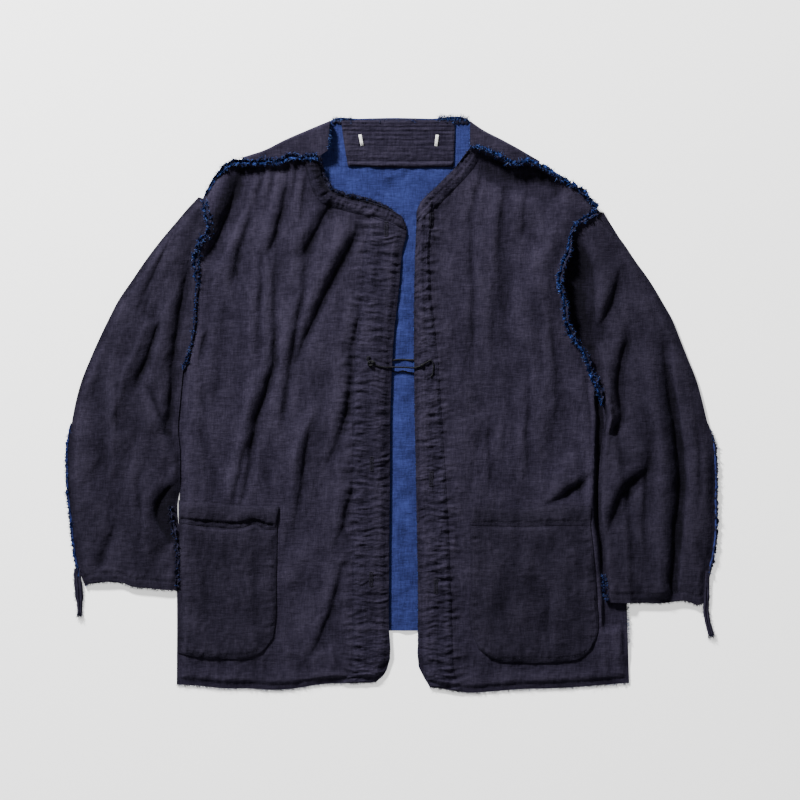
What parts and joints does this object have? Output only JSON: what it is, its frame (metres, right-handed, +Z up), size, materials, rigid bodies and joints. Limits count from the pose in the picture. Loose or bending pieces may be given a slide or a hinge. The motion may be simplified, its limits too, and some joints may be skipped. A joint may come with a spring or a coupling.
{
  "type": "liner jacket",
  "caption": "Collarless liner jacket of dark double gauze with raw outside seams, two patch pockets and a cord closure, laid flat and open at the front.",
  "frame": {"origin": "centre of the jacket's outline, on the surface that it lies on", "axes": "+X towards the wearer's left sleeve, +Y towards the collar, +Z up from the surface"},
  "size_m": [0.8118, 0.7214, 0.0188],
  "materials": {
    "navy_cloth": "matt double gauze, dark navy outside and mid blue inside",
    "navy_band": "the same cloth doubled and closely stitched",
    "blue_edge": "frayed raw seam edge, blue and navy threads",
    "black_cord": "fine black cord"
  },
  "bodies": {
    "root": {"back": "navy_cloth", "right_front": "navy_cloth", "left_front": "navy_cloth", "right_placket": "navy_band", "left_placket": "navy_band", "right_neck_band": "navy_band", "left_neck_band": "navy_band", "right_pocket": "navy_cloth", "left_pocket": "navy_cloth", "right_pocket_hem": "navy_cloth", "left_pocket_hem": "navy_cloth", "right_sleeve_upper": "navy_cloth", "left_sleeve_upper": "navy_cloth", "right_sleeve_under": "navy_cloth", "left_sleeve_under": "navy_cloth", "neck_patch": "navy_band", "neck_fringe": "blue_edge", "right_shoulder_fringe": "blue_edge", "left_shoulder_fringe": "blue_edge", "right_armhole_fringe": "blue_edge", "left_armhole_fringe": "blue_edge", "right_sleeve_fringe": "blue_edge", "left_sleeve_fringe": "blue_edge", "right_cuff_tail": "navy_cloth", "left_cuff_tail": "navy_cloth", "closure_cord": "black_cord", "closure_cord_upper": "black_cord", "closure_cord_lower": "black_cord", "closure_knot": "black_cord", "closure_toggle": "black_cord"}
  },
  "joints": []
}
